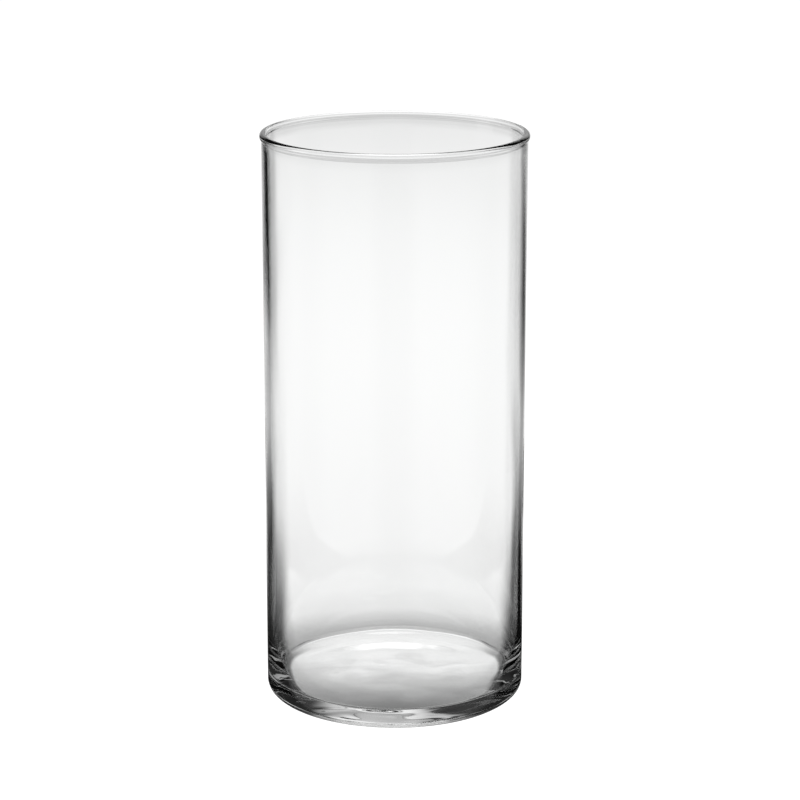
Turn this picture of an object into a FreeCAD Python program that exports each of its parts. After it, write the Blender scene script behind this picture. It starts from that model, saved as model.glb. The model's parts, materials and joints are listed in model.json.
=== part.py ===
"""A machine-made cylinder vase for cut flowers: one piece of clear soda-lime glass.

The frame has +Z up along the vase's axis, and its origin is at the centre of the bearing ring,
on the surface that the vase stands on. Lengths are in millimetres.
"""

import FreeCAD
import Part
import Sketcher
import math
import os

PARTS_FOLDER = "parts"
NODE = "glass_vase"

# The driving dimensions: alias, value, and what it is.
DIMENSIONS = [
    ("vase_height", 228.6, "bearing ring to the top of the rim bead"),
    ("wall_radius", 52.0, "outside of the straight wall"),
    ("bore_radius", 49.7, "inside of the straight wall"),
    ("floor_height", 7.2, "inside floor above the bearing plane"),
    ("swell_top", 26.0, "height at which the wall starts to thicken on its way down to the floor"),
    ("swell_radius", 75.0, "long inside curve by which the wall thickens"),
    ("corner_radius", 1.5, "inside corner between that curve and the floor"),
    ("heel_radius", 3.6, "outside corner between the wall and the bearing ring"),
    ("punt_radius", 44.0, "inner edge of the bearing ring, where the push-up starts"),
    ("punt_depth", 0.5, "height of the push-up at the axis"),
    ("bead_radius", 1.5, "half the thickness of the fire-polished rim bead"),
    ("bead_blend_radius", 2.0, "hollow under the rim bead, where it runs into the outside wall"),
]

# How Sketcher numbers the points of a piece of geometry, and the sketch's own axes.
START = 1
END = 2
CENTRE = 3
H_AXIS = -1
V_AXIS = -2


def driving_sheet(document):
    """The spreadsheet whose cells hold the driving dimensions."""
    sheet = document.addObject("Spreadsheet::Sheet", "dimensions")
    for row, (alias, value, meaning) in enumerate(DIMENSIONS, start=1):
        sheet.set(f"A{row}", meaning)
        sheet.set(f"B{row}", str(value))
        sheet.setAlias(f"B{row}", alias)
    document.recompute()
    return sheet


def arc(centre, radius, start_angle, end_angle):
    """An arc that runs anticlockwise from one angle to the other, in degrees."""
    circle = Part.Circle(centre, FreeCAD.Vector(0, 0, 1), radius)
    return Part.ArcOfCircle(circle, math.radians(start_angle), math.radians(end_angle))


def direction(start, end):
    """The angle in degrees at which one point of the sketch sees another."""
    return math.degrees(math.atan2(end.y - start.y, end.x - start.x))


def section_geometry(sheet):
    """The vase's half section, as named lines and arcs in order round the glass.

    X runs out from the axis and Y runs up. The round pieces are tangent to their neighbours,
    except where the push-up meets the bearing ring at an edge.
    """
    point = FreeCAD.Vector
    wall = sheet.wall_radius
    bore = sheet.bore_radius
    floor = sheet.floor_height
    swell = sheet.swell_radius
    corner = sheet.corner_radius
    heel = sheet.heel_radius
    bead = sheet.bead_radius
    blend = sheet.bead_blend_radius

    dome = (sheet.punt_radius ** 2 + sheet.punt_depth ** 2) / (2 * sheet.punt_depth)
    dome_centre = point(0, sheet.punt_depth - dome)
    ring_edge = point(sheet.punt_radius, 0)
    bead_centre = point(bore + bead, sheet.vase_height - bead)
    blend_out = wall + blend - bead_centre.x
    blend_drop = math.sqrt((bead + blend) ** 2 - blend_out ** 2)
    blend_centre = point(wall + blend, bead_centre.y - blend_drop)
    to_blend = direction(bead_centre, blend_centre)
    swell_centre = point(bore - swell, sheet.swell_top)
    corner_drop = sheet.swell_top - floor - corner
    corner_reach = math.sqrt((swell - corner) ** 2 - corner_drop ** 2)
    corner_centre = point(swell_centre.x + corner_reach, floor + corner)
    to_corner = direction(swell_centre, corner_centre)

    return {
        "axis": Part.LineSegment(point(0, floor), point(0, sheet.punt_depth)),
        "punt": arc(dome_centre, dome, direction(dome_centre, ring_edge), 90),
        "ring": Part.LineSegment(ring_edge, point(wall - heel, 0)),
        "heel": arc(point(wall - heel, heel), heel, -90, 0),
        "wall": Part.LineSegment(point(wall, heel), point(wall, blend_centre.y)),
        "blend": arc(blend_centre, blend, to_blend + 180, 180),
        "bead": arc(bead_centre, bead, to_blend, 180),
        "bore": Part.LineSegment(point(bore, bead_centre.y), point(bore, swell_centre.y)),
        "swell": arc(swell_centre, swell, to_corner, 0),
        "corner": arc(corner_centre, corner, -90, to_corner),
        "floor": Part.LineSegment(point(corner_centre.x, floor), point(0, floor)),
    }


def shared_ends(sketch, first, second):
    """Which end of each of two neighbouring pieces is the point that they share."""
    nearest = min(
        (sketch.getPoint(first, one).distanceToPoint(sketch.getPoint(second, two)), one, two)
        for one in (START, END)
        for two in (START, END)
    )
    return nearest[1:]


def join_section(sketch, index):
    """Closes the section: neighbours share an end, and all but three pairs are tangent there."""
    names = list(index)
    plain_corners = {"floor", "axis", "punt"}
    for name, following in zip(names, names[1:] + names[:1]):
        first = index[name]
        second = index[following]
        first_end, second_end = shared_ends(sketch, first, second)
        kind = "Coincident" if name in plain_corners else "Tangent"
        sketch.addConstraint(Sketcher.Constraint(kind, first, first_end, second, second_end))
    sketch.addConstraint(Sketcher.Constraint("PointOnObject", index["axis"], START, V_AXIS))
    sketch.addConstraint(Sketcher.Constraint("PointOnObject", index["axis"], END, V_AXIS))
    sketch.addConstraint(Sketcher.Constraint("PointOnObject", index["punt"], CENTRE, V_AXIS))
    sketch.addConstraint(Sketcher.Constraint("PointOnObject", index["ring"], START, H_AXIS))
    sketch.addConstraint(Sketcher.Constraint("Horizontal", index["ring"]))
    sketch.addConstraint(Sketcher.Constraint("Vertical", index["wall"]))
    sketch.addConstraint(Sketcher.Constraint("Vertical", index["bore"]))
    sketch.addConstraint(Sketcher.Constraint("Horizontal", index["floor"]))


def dimension(sketch, name, constraint, expression):
    """Adds a named dimension to a sketch and binds it to the sheet."""
    sketch.renameConstraint(sketch.addConstraint(constraint), name)
    sketch.setExpression(f"Constraints.{name}", expression)


def dimension_section(sketch, index):
    """Binds every size of the section to the sheet."""
    for name in ("heel", "blend", "bead", "swell", "corner"):
        alias = "bead_blend_radius" if name == "blend" else f"{name}_radius"
        radius = sketch.Geometry[index[name]].Radius
        constraint = Sketcher.Constraint("Radius", index[name], radius)
        dimension(sketch, f"{name}_size", constraint, f"dimensions.{alias}")

    across = [
        ("ring", START, "dimensions.punt_radius"),
        ("wall", START, "dimensions.wall_radius"),
        ("bore", START, "dimensions.bore_radius"),
    ]
    for name, end, expression in across:
        x = sketch.getPoint(index[name], end).x
        constraint = Sketcher.Constraint("DistanceX", H_AXIS, START, index[name], end, x)
        dimension(sketch, f"{name}_reach", constraint, expression)

    upward = [
        ("axis", START, "dimensions.floor_height"),
        ("axis", END, "dimensions.punt_depth"),
        ("bead", CENTRE, "dimensions.vase_height - dimensions.bead_radius"),
        ("swell", CENTRE, "dimensions.swell_top"),
    ]
    for number, (name, end, expression) in enumerate(upward, start=1):
        y = sketch.getPoint(index[name], end).y
        constraint = Sketcher.Constraint("DistanceY", H_AXIS, START, index[name], end, y)
        dimension(sketch, f"level_{number}", constraint, expression)


def section_sketch(body, sheet):
    """The dimensioned half section, on the body's own XZ plane."""
    features = body.Origin.OriginFeatures
    plane = next(feature for feature in features if feature.Role == "XZ_Plane")
    sketch = body.newObject("Sketcher::SketchObject", "half_section")
    sketch.AttachmentSupport = [(plane, "")]
    sketch.MapMode = "FlatFace"
    geometry = section_geometry(sheet)
    index = {name: sketch.addGeometry(piece) for name, piece in geometry.items()}
    join_section(sketch, index)
    dimension_section(sketch, index)
    body.Document.recompute()
    return sketch


def build_vase(document, sheet):
    """The vase, turned from its half section as one body of glass."""
    body = document.addObject("PartDesign::Body", NODE)
    body.Label = NODE
    body.Placement = FreeCAD.Placement()
    section = section_sketch(body, sheet)
    turned = body.newObject("PartDesign::Revolution", "turned_glass")
    turned.Profile = section
    turned.ReferenceAxis = (section, ["V_Axis"])
    turned.Angle = 360.0
    document.recompute()
    return body


def check(document):
    """Stops if an object has failed, a sketch is loose, or the vase isn't one valid solid."""
    for item in document.Objects:
        if "Invalid" in item.State or "Error" in item.State:
            raise RuntimeError(f"{item.Name} is {item.State}")
        if item.isDerivedFrom("Sketcher::SketchObject") and not item.FullyConstrained:
            raise RuntimeError(f"{item.Name} is not fully constrained")
        if item.isDerivedFrom("PartDesign::Body"):
            shape = item.Shape
            if shape.isNull() or not shape.isValid() or len(shape.Solids) != 1:
                raise RuntimeError(f"{item.Name} isn't one valid solid")


def main():
    document = FreeCAD.newDocument("cylinder_vase")
    sheet = driving_sheet(document)
    vase = build_vase(document, sheet)
    check(document)
    os.makedirs(PARTS_FOLDER, exist_ok=True)
    vase.Shape.exportStep(os.path.join(PARTS_FOLDER, f"{vase.Label}.step"))
    box = vase.Shape.BoundBox
    print(f"{vase.Label}: {vase.Shape.Volume / 1000:.1f} cm3, {box.ZMin:.3f} to {box.ZMax:.3f} mm high")


main()
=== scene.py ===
"""A clear glass cylinder vase on a pale studio floor, in metres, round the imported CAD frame."""

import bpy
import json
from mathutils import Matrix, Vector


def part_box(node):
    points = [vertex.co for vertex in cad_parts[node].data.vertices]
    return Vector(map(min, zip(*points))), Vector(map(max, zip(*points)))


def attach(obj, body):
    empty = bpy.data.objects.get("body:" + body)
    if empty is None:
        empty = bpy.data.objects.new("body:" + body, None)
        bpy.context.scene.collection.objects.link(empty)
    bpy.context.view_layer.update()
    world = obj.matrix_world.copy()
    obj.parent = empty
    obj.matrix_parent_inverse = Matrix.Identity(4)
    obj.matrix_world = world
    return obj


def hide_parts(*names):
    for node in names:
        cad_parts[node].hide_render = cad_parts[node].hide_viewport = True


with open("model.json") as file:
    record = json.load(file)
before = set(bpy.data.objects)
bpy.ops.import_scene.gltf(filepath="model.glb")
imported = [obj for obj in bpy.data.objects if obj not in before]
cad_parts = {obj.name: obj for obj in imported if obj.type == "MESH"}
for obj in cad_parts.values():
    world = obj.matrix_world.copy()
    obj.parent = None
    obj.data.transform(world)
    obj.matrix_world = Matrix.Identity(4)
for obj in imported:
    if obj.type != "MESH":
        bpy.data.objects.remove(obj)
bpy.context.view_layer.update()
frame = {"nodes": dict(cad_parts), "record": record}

import bpy
import json
import math
from mathutils import Vector, noise

NODE = "glass_vase"
WHITE = (1.0, 1.0, 1.0, 1.0)

# ---------------------------------------------------------------- the waves in the glass

# Two sizes of wave in the moulded surface: waves per metre, height in metres, and where in the
# noise each one starts. Heights count for a share, so the waves run longer up the vase.
WAVES = [
    (42.0, 0.00026, (3.1, 7.7, 1.9)),
    (120.0, 0.00007, (11.3, 2.2, 5.4)),
]
HEIGHT_SHARE = 0.3

# How much of those waves the stretches of the section show. One stretch's ripple gives way to
# the next within 1 / RIPPLE_CHANGE of its points.
FLOOR_RIPPLE = 1.4
BORE_RIPPLE = 0.3
CORNER_RIPPLE = 0.25
WALL_RIPPLE = 0.15
EDGE_RIPPLE = 0.1
RIPPLE_CHANGE = 2.5

SEGMENTS = 256

# ---------------------------------------------------------------- sizes, from the frame


def mount(name):
    """One of the record's mounts."""
    return next(entry for entry in frame["record"]["mounts"] if entry["name"] == name)


def cast_height(start, direction):
    """The height at which a vertical ray along the axis meets the CAD glass."""
    hit, place, _, _ = frame["nodes"][NODE].ray_cast(Vector(start), Vector(direction))
    if not hit:
        raise RuntimeError("the ray along the axis missed the glass")
    return place.z


def inside_corners(floor, swell_top, bore):
    """Two corners of the CAD mesh: the floor's outer radius, and one on the wall's long curve."""
    corners = [(corner.co.xy.length, corner.co.z) for corner in frame["nodes"][NODE].data.vertices]
    edge = max(radius for radius, height in corners if abs(height - floor) < 1e-6)
    middle = (floor + swell_top) / 2
    inside = [
        (radius, height) for radius, height in corners
        if floor < height < swell_top - 1e-6 and radius < bore
    ]
    return edge, min(inside, key=lambda corner: abs(corner[1] - middle))


class Sizes:
    """The vase's own sizes, worked out from the CAD node's box, mounts, corners and two rays."""

    inside, outside, ring = mount("inner_bore"), mount("outer_wall"), mount("base_ring")
    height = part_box(NODE)[1].z
    bore = inside["dims"]["r_mm"] / 1000
    wall = outside["dims"]["r_mm"] / 1000
    floor = cast_height((0.0, 0.0, height), (0.0, 0.0, -1.0))
    punt_depth = cast_height((0.0, 0.0, -height), (0.0, 0.0, 1.0))
    bead_level = inside["pos_m"][2]
    bead = height - bead_level
    swell_top = bead_level - inside["dims"]["length_mm"] / 1000
    floor_edge, (curve_radius, curve_height) = inside_corners(floor, swell_top, bore)
    inset, below = bore - curve_radius, swell_top - curve_height
    swell = (below ** 2 + inset ** 2) / (2 * inset)
    reach, drop = floor_edge - bore + swell, swell_top - floor
    corner = (swell ** 2 - reach ** 2 - drop ** 2) / (2 * (swell - drop))
    heel = outside["pos_m"][2]
    wall_top = heel + outside["dims"]["length_mm"] / 1000
    ring_outer = wall - heel
    punt = 2 * ring["pos_m"][0] - ring_outer


# ---------------------------------------------------------------- the glass, as one mesh


def arc_points(centre, radius, start, end, count):
    """Points of an arc in the half section, without its first point; angles in degrees."""
    angles = [math.radians(start + (end - start) * step / count) for step in range(1, count + 1)]
    return [(centre[0] + radius * math.cos(a), centre[1] + radius * math.sin(a)) for a in angles]


def line_points(start, end, count):
    """Points of a straight stretch in the half section, without its first point."""
    return [
        (
            start[0] + (end[0] - start[0]) * step / count,
            start[1] + (end[1] - start[1]) * step / count,
        )
        for step in range(1, count + 1)
    ]


def push_up_points(radius, depth, count):
    """Points of the push-up from its edge in to the axis, without its first point."""
    shares = [1 - step / count for step in range(1, count + 1)]
    return [(radius * share, depth * (1 - share ** 2) ** 2) for share in shares]


def half_section():
    """The vase's section from the middle of the inside floor, over the rim, to the push-up.

    Each point is (radius, height, ripple), where ripple says how far the glass's surface may
    wander there, as a multiple of WAVES.
    """
    s = Sizes
    bead_centre = (s.bore + s.bead, s.bead_level)
    reach = s.wall - bead_centre[0]
    drop = s.bead_level - s.wall_top
    blend = (drop ** 2 + reach ** 2 - s.bead ** 2) / (2 * (s.bead - reach))
    blend_centre = (s.wall + blend, s.wall_top)
    turn = math.degrees(math.atan2(drop, bead_centre[0] - blend_centre[0]))
    swell_centre = (s.bore - s.swell, s.swell_top)
    corner_centre = (s.floor_edge, s.floor + s.corner)
    run, rise = corner_centre[0] - swell_centre[0], corner_centre[1] - swell_centre[1]
    meet = math.degrees(math.atan2(rise, run))
    stretches = [
        (line_points((0.0, s.floor), (s.floor_edge, s.floor), count=36), FLOOR_RIPPLE),
        (arc_points(corner_centre, s.corner, -90, meet, count=14), CORNER_RIPPLE),
        (arc_points(swell_centre, s.swell, meet, 0, count=30), BORE_RIPPLE),
        (line_points((s.bore, s.swell_top), (s.bore, s.bead_level), count=70), BORE_RIPPLE),
        (arc_points(bead_centre, s.bead, 180, turn - 180, count=30), EDGE_RIPPLE),
        (arc_points(blend_centre, blend, turn, 180, count=6), EDGE_RIPPLE),
        (line_points((s.wall, s.wall_top), (s.wall, s.heel), count=60), WALL_RIPPLE),
        (arc_points((s.ring_outer, s.heel), s.heel, 0, -90, count=10), EDGE_RIPPLE),
        (line_points((s.ring_outer, 0.0), (s.punt, 0.0), count=4), 0.0),
        (push_up_points(s.punt, s.punt_depth, count=40), FLOOR_RIPPLE),
    ]
    points = [(0.0, s.floor, FLOOR_RIPPLE)]
    for stretch, ripple in stretches:
        before = points[-1][2]
        for number, (radius, height) in enumerate(stretch, start=1):
            blend_in = min(1.0, number / len(stretch) * RIPPLE_CHANGE)
            points.append((radius, height, before + (ripple - before) * blend_in))
    return points


def ripple_at(place):
    """How far the glass's surface wanders at a place, in metres, where WAVES show in full."""
    along = Vector((place.x, place.y, place.z * HEIGHT_SHARE))
    return sum(
        height * noise.noise(along * per_metre + Vector(start))
        for per_metre, height, start in WAVES
    )


def vase_mesh():
    """The whole vase as one closed surface, turned from the section and gently rippled."""
    section = half_section()
    inner, outer = section[0], section[-1]
    verts = [Vector((0.0, 0.0, inner[1])), Vector((0.0, 0.0, outer[1]))]
    first = len(verts)
    rings = section[1:-1]
    for number, (radius, height, ripple) in enumerate(rings, start=1):
        before, after = section[number - 1], section[number + 1]
        run = Vector((after[0] - before[0], after[1] - before[1])).normalized()
        out = Vector((run.y, -run.x))
        for segment in range(SEGMENTS):
            angle = 2 * math.pi * segment / SEGMENTS
            place = Vector((radius * math.cos(angle), radius * math.sin(angle), height))
            push = ripple_at(place) * ripple
            reach = radius + out.x * push
            level = height + out.y * push
            verts.append(Vector((reach * math.cos(angle), reach * math.sin(angle), level)))
    last = first + (len(rings) - 1) * SEGMENTS
    faces = []
    for segment in range(SEGMENTS):
        turn = (segment + 1) % SEGMENTS
        faces.append((0, first + segment, first + turn))
        faces.append((1, last + turn, last + segment))
    for ring in range(len(rings) - 1):
        start = first + ring * SEGMENTS
        end = start + SEGMENTS
        for segment in range(SEGMENTS):
            turn = (segment + 1) % SEGMENTS
            faces.append((start + segment, end + segment, end + turn, start + turn))
    mesh = bpy.data.meshes.new("cylinder_vase")
    mesh.from_pydata(verts, [], faces)
    mesh.polygons.foreach_set("use_smooth", [True] * len(mesh.polygons))
    mesh.validate()
    mesh.update()
    return mesh


# ---------------------------------------------------------------- node helpers


def maths(tree, operation, *values):
    """A Math node's output, from numbers and other outputs."""
    node = tree.nodes.new("ShaderNodeMath")
    node.operation = operation
    for socket, value in zip(node.inputs, values):
        if isinstance(value, (int, float)):
            socket.default_value = value
        else:
            tree.links.new(value, socket)
    return node.outputs[0]


def step_up(tree, value, start, end, high=1.0, smooth=True):
    """A soft step from nothing to high as the value goes from start to end."""
    node = tree.nodes.new("ShaderNodeMapRange")
    node.interpolation_type = "SMOOTHSTEP" if smooth else "LINEAR"
    given = {"Value": value, "From Min": start, "From Max": end, "To Max": high}
    for name, source in given.items():
        if isinstance(source, (int, float)):
            node.inputs[name].default_value = source
        else:
            tree.links.new(source, node.inputs[name])
    return node.outputs["Result"]


def mixed(tree, share, first, second):
    """A colour that goes from first to second with the share."""
    node = tree.nodes.new("ShaderNodeMix")
    node.data_type = "RGBA"
    node.inputs["A"].default_value = first
    node.inputs["B"].default_value = second
    tree.links.new(share, node.inputs["Factor"])
    return node.outputs["Result"]


def cloud(tree, coords, scale, detail):
    """A soft noise over the object's own coordinates, from 0 to 1."""
    node = tree.nodes.new("ShaderNodeTexNoise")
    node.inputs["Scale"].default_value = scale
    node.inputs["Detail"].default_value = detail
    tree.links.new(coords, node.inputs["Vector"])
    return node.outputs["Fac"]


def between(tree, value, low, high, softness):
    """A soft-edged window: 1 while the value is between low and high, and 0 outside."""
    rise = step_up(tree, value, low - softness, low + softness)
    fall = step_up(tree, value, high + softness, high - softness)
    return maths(tree, "MULTIPLY", rise, fall)


def length(tree, first, second):
    """The length of a pair of coordinates."""
    squares = [maths(tree, "MULTIPLY", value, value) for value in (first, second)]
    return maths(tree, "SQRT", maths(tree, "ADD", *squares))


# ---------------------------------------------------------------- the glass itself


def glass_material():
    """Clear soda-lime glass, with a trace of green, a faint skin of the mould and some haze."""
    material = bpy.data.materials.new("clear_soda_lime_glass")
    material.use_nodes = True
    tree = material.node_tree
    shader = tree.nodes["Principled BSDF"]
    shader.inputs["Transmission Weight"].default_value = 1.0
    shader.inputs["IOR"].default_value = 1.5
    coords = tree.nodes.new("ShaderNodeTexCoord").outputs["Object"]
    faint_green = (0.986, 0.992, 0.989, 1.0)
    tint = mixed(tree, cloud(tree, coords, scale=18.0, detail=1.0), WHITE, faint_green)
    tree.links.new(tint, shader.inputs["Base Color"])
    haze = step_up(tree, cloud(tree, coords, scale=35.0, detail=3.0), 0.45, 0.8, high=0.012)
    tree.links.new(haze, shader.inputs["Roughness"])
    bump = tree.nodes.new("ShaderNodeBump")
    bump.inputs["Strength"].default_value = 0.06
    bump.inputs["Distance"].default_value = 0.0001
    tree.links.new(cloud(tree, coords, scale=90.0, detail=1.0), bump.inputs["Height"])
    tree.links.new(bump.outputs["Normal"], shader.inputs["Normal"])
    return material


def build_vase():
    """The vase. It casts no shadow and the floor doesn't see it, so the floor stays evenly lit."""
    vase = bpy.data.objects.new("cylinder_vase", vase_mesh())
    bpy.context.scene.collection.objects.link(vase)
    vase.data.materials.append(glass_material())
    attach(vase, "root")
    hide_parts(NODE)
    vase.visible_shadow = False
    vase.visible_diffuse = False


# ---------------------------------------------------------------- the studio


# What the glass sees of the room: elevations in degrees and the brightness there, for a bright
# table that runs on into a low backdrop, a dark room above it, and a pale ceiling. The elevations
# are given. The brightnesses come from a program's fit to the photograph, rounded.
ROOM = [
    (-90, 1.11),
    (-9, 0.84),
    (-7.5, 0.05),
    (40, 0),
    (46, 0.26),
    (90, 1.09),
]

# Soft-edged panels in front of the room, later ones over earlier ones. Each has its heading in
# degrees (0 is straight away from the camera, and 90 is to its left), half its width, how soft
# its sides are, its lowest and highest elevation, how soft those edges are, and its brightness.
# The first two are given. The others come from a program's fit to the photograph,
# rounded, and so do most sizes and strengths of the painted table shade further down.
PANELS = [
    (181, 15, 12, -26, -6, 2, 0.7),
    (-93, 14, 12, -26, -6, 2, 0.7),
    (-4, 51, 4.5, -55, -9.5, 6.25, 1.02),
    (3, 30, 6, -59.5, -39, 1, 1.14),
    (1, 43, 4.5, -37, -20.5, 7.75, 0.78),
    (28, 15.5, 7.5, -14.5, -7, 2, 0),
    (30, 15.5, 6.5, -21.5, -15.5, 3.5, 0.01),
    (-24, 9.5, 8, -15.5, -6, 2.75, 0.03),
    (-32, 19.5, 2.5, -32.5, -16, 2.75, 0.01),
    (-1, 18, 2.5, -9, 7, 3.25, 0.71),
    (-2, 25, 5, 3.5, 17, 2.5, 0.56),
    (-7, 14, 4.5, 8.5, 20.5, 2.75, 0.88),
    (-9, 15.5, 8.5, 22, 28, 2, 0.65),
    (90, 9.5, 1.5, -11, 6.5, 8.25, 0.95),
]


# How bright the plain white is that the eye and the floor see.
PLAIN_WHITE = 1.1


def build_world():
    """Plain white to the eye and to the floor; to the glass, the room and its panels."""
    world = bpy.data.worlds.new("studio")
    bpy.context.scene.world = world
    world.use_nodes = True
    tree = world.node_tree
    tree.nodes.clear()
    split = tree.nodes.new("ShaderNodeSeparateXYZ")
    tree.links.new(tree.nodes.new("ShaderNodeTexCoord").outputs["Generated"], split.inputs[0])
    x, y, z = split.outputs
    heading = maths(tree, "DEGREES", maths(tree, "ARCTAN2", maths(tree, "MULTIPLY", x, -1.0), y))
    elevation = maths(tree, "DEGREES", maths(tree, "ARCSINE", z))

    light = ROOM[0][1]
    for (low, before), (high, after) in zip(ROOM, ROOM[1:]):
        if after != before:
            climb = step_up(tree, elevation, low, high, after - before, smooth=False)
            light = maths(tree, "ADD", climb, light)
    for centre, half_width, side_softness, low, high, edge_softness, level in PANELS:
        turn = maths(tree, "WRAP", maths(tree, "SUBTRACT", heading, centre), 180.0, -180.0)
        off = maths(tree, "ABSOLUTE", turn)
        across = step_up(tree, off, half_width + side_softness, half_width - side_softness)
        panel = maths(tree, "MULTIPLY", across, between(tree, elevation, low, high, edge_softness))
        change = maths(tree, "SUBTRACT", level, light)
        light = maths(tree, "ADD", maths(tree, "MULTIPLY", panel, change), light)

    shaped = tree.nodes.new("ShaderNodeBackground")
    tree.links.new(light, shaped.inputs["Strength"])
    shaped.inputs["Color"].default_value = WHITE
    plain = tree.nodes.new("ShaderNodeBackground")
    plain.inputs["Color"].default_value = WHITE
    plain.inputs["Strength"].default_value = PLAIN_WHITE
    path = tree.nodes.new("ShaderNodeLightPath")
    eye_or_floor = maths(
        tree, "MAXIMUM", path.outputs["Is Camera Ray"], path.outputs["Is Diffuse Ray"]
    )
    mix = tree.nodes.new("ShaderNodeMixShader")
    tree.links.new(eye_or_floor, mix.inputs[0])
    tree.links.new(shaped.outputs[0], mix.inputs[1])
    tree.links.new(plain.outputs[0], mix.inputs[2])
    output = tree.nodes.new("ShaderNodeOutputWorld")
    tree.links.new(mix.outputs[0], output.inputs["Surface"])


def flat_square(name, half, height):
    """A level square on the vase's axis."""
    mesh = bpy.data.meshes.new(name)
    corners = [(-half, -half, 0), (half, -half, 0), (half, half, 0), (-half, half, 0)]
    mesh.from_pydata(corners, [], [(0, 1, 2, 3)])
    square = bpy.data.objects.new(name, mesh)
    square.location.z = height
    bpy.context.scene.collection.objects.link(square)
    return square


def build_floor():
    """A wide plain pale floor, which the glass itself doesn't show."""
    floor = flat_square("floor", half=4.0, height=-0.0001)
    material = bpy.data.materials.new("pale_floor")
    material.use_nodes = True
    shader = material.node_tree.nodes["Principled BSDF"]
    shader.inputs["Base Color"].default_value = (0.93, 0.93, 0.93, 1.0)
    shader.inputs["Roughness"].default_value = 0.9
    shader.inputs["Specular IOR Level"].default_value = 0.0
    floor.data.materials.append(material)
    floor.visible_transmission = False
    floor.visible_glossy = False


def wing_shade(tree, across, away, radius):
    """The two wings: beside the vase and behind it, painted shade between two lines.

    The lines open backwards from a corner beside the vase, at their own angles to the line away
    from the camera, and get softer with distance.
    """
    size = Sizes.wall
    corner_out, corner_near = 0.61 * size, 0.92 * size
    softness_at_corner, softness_growth = 0.01 * size, 0.058
    fade_end, fade_start, darkness = 5.2 * size, 1.6 * size, 0.97
    inner_line, outer_line = 11, 55.5
    beside = maths(tree, "SUBTRACT", maths(tree, "ABSOLUTE", across), corner_out)
    beyond = maths(tree, "ADD", away, corner_near)
    reach = length(tree, beside, beyond)
    growth = maths(tree, "MULTIPLY", reach, softness_growth)
    softness = maths(tree, "ADD", growth, softness_at_corner)
    hardness = maths(tree, "MULTIPLY", softness, -1.0)
    shade = step_up(tree, radius, fade_end, fade_start, darkness)
    for heading, side in ((inner_line, 1.0), (outer_line, -1.0)):
        angle = math.radians(heading)
        part_beside = maths(tree, "MULTIPLY", beside, side * math.cos(angle))
        part_beyond = maths(tree, "MULTIPLY", beyond, side * math.sin(angle))
        off = maths(tree, "SUBTRACT", part_beside, part_beyond)
        shade = maths(tree, "MULTIPLY", shade, step_up(tree, off, hardness, softness))
    return shade


def under_shade(tree, across, away, radius):
    """Painted shadow under the vase: darker towards the camera, and under the sides of the ring.
    """
    size = Sizes.wall
    front_start, front_end, front_darkness = -0.14 * size, 1.04 * size, 0.83
    side_start, side_end, side_darkness = 45.0, 75.0, 0.9
    ring_start, ring_end = 0.83 * size, 0.885 * size
    toward = maths(tree, "MULTIPLY", away, -1.0)
    front = step_up(tree, toward, front_start, front_end, front_darkness)
    heading = maths(tree, "DEGREES", maths(tree, "ARCTAN2", maths(tree, "ABSOLUTE", across), away))
    beside = step_up(tree, heading, side_start, side_end, side_darkness)
    ring = maths(tree, "MULTIPLY", step_up(tree, radius, ring_start, ring_end), beside)
    return maths(tree, "MAXIMUM", front, ring)


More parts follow.
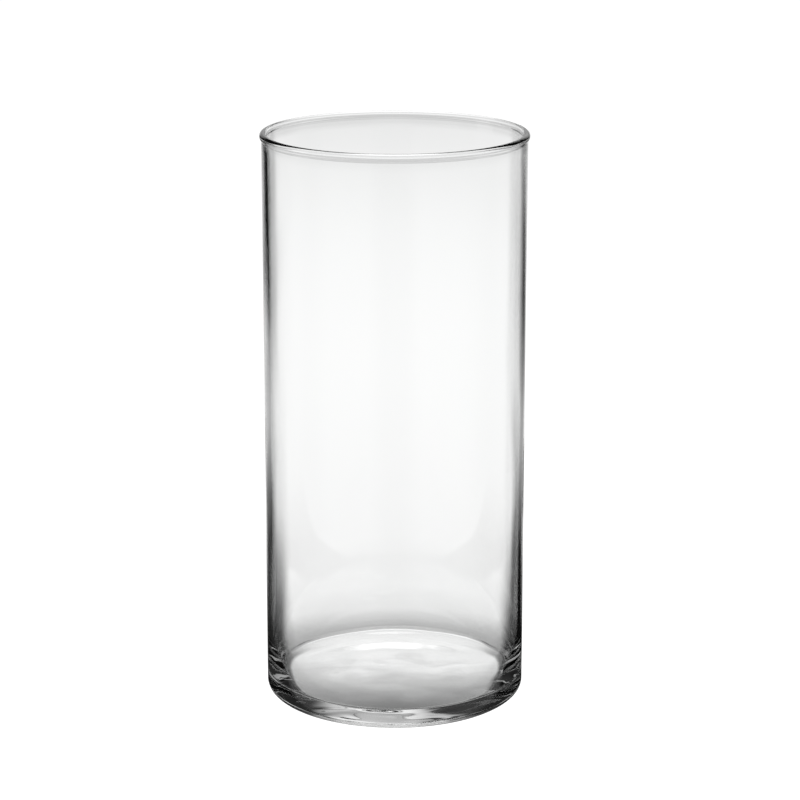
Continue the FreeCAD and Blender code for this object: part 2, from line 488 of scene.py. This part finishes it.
def build_painted_shade_film():
    """A dark translucent film of painted shade on the table, which only the glass shows: the
    vase's painted shadow round it and under it, and two dark wings beside and behind it, so that
    the glass's edges stand out against the white."""
    size = Sizes.wall
    near_end, near_start, near_darkness = 1.71 * size, 0.96 * size, 0.57
    under_edge = 0.97 * size
    # Painted shade: a dark sheet on the table that only the glass sees, for the vase's shadow
    # round and under it and for two dark wings beside and behind it.
    shade_film = flat_square("table_cards", half=8 * size, height=-0.00005)
    material = bpy.data.materials.new("dark_table_cards")
    material.use_nodes = True
    tree = material.node_tree
    tree.nodes.clear()
    split = tree.nodes.new("ShaderNodeSeparateXYZ")
    tree.links.new(tree.nodes.new("ShaderNodeTexCoord").outputs["Object"], split.inputs[0])
    across, away, _ = split.outputs
    radius = length(tree, across, away)
    # Painted shadow of the vase on the table round its foot.
    near = step_up(tree, radius, near_end, near_start, near_darkness)
    # Two dark wings of painted shade beside and behind the vase.
    wings = wing_shade(tree, across, away, radius)
    clear = [maths(tree, "SUBTRACT", 1.0, shade) for shade in (near, wings)]
    around = maths(tree, "SUBTRACT", 1.0, maths(tree, "MULTIPLY", *clear))
    # Painted shadow of the vase on the table under it.
    under = under_shade(tree, across, away, radius)
    outside = maths(tree, "GREATER_THAN", radius, under_edge)
    choice = tree.nodes.new("ShaderNodeMix")
    tree.links.new(outside, choice.inputs["Factor"])
    tree.links.new(under, choice.inputs["A"])
    tree.links.new(around, choice.inputs["B"])
    mix = tree.nodes.new("ShaderNodeMixShader")
    tree.links.new(choice.outputs["Result"], mix.inputs[0])
    tree.links.new(tree.nodes.new("ShaderNodeBsdfTransparent").outputs[0], mix.inputs[1])
    black = tree.nodes.new("ShaderNodeBsdfDiffuse")
    black.inputs["Color"].default_value = (0.004, 0.004, 0.004, 1.0)
    tree.links.new(black.outputs[0], mix.inputs[2])
    output = tree.nodes.new("ShaderNodeOutputMaterial")
    tree.links.new(mix.outputs[0], output.inputs["Surface"])
    shade_film.data.materials.append(material)
    shade_film.visible_camera = False
    shade_film.visible_diffuse = False
    shade_film.visible_shadow = False


def build_camera():
    """A long lens in front of the vase and above its rim, tilted down at it."""
    tilt = 15.22
    data = bpy.data.cameras.new("camera")
    data.sensor_width = 36.0
    data.lens = 120.35
    data.shift_x = 0.0066
    camera = bpy.data.objects.new("camera", data)
    camera.location = (0.0, -1.0305, 0.4007)
    camera.rotation_euler = (math.radians(90 - tilt), 0.0, 0.0)
    bpy.context.scene.collection.objects.link(camera)
    bpy.context.scene.camera = camera


def build_light():
    """One large soft overhead light."""
    data = bpy.data.lights.new("overhead", "AREA")
    data.shape = "DISK"
    data.size = 1.2
    data.energy = 4.0
    lamp = bpy.data.objects.new("overhead", data)
    lamp.location = (0.0, 0.0, 1.6)
    bpy.context.scene.collection.objects.link(lamp)


def main():
    scene = bpy.context.scene
    scene.view_settings.view_transform = "Standard"
    scene.cycles.max_bounces = 24
    scene.cycles.transmission_bounces = 24
    scene.cycles.glossy_bounces = 12
    build_camera()
    build_world()
    build_floor()
    build_painted_shade_film()
    build_light()
    build_vase()


main()
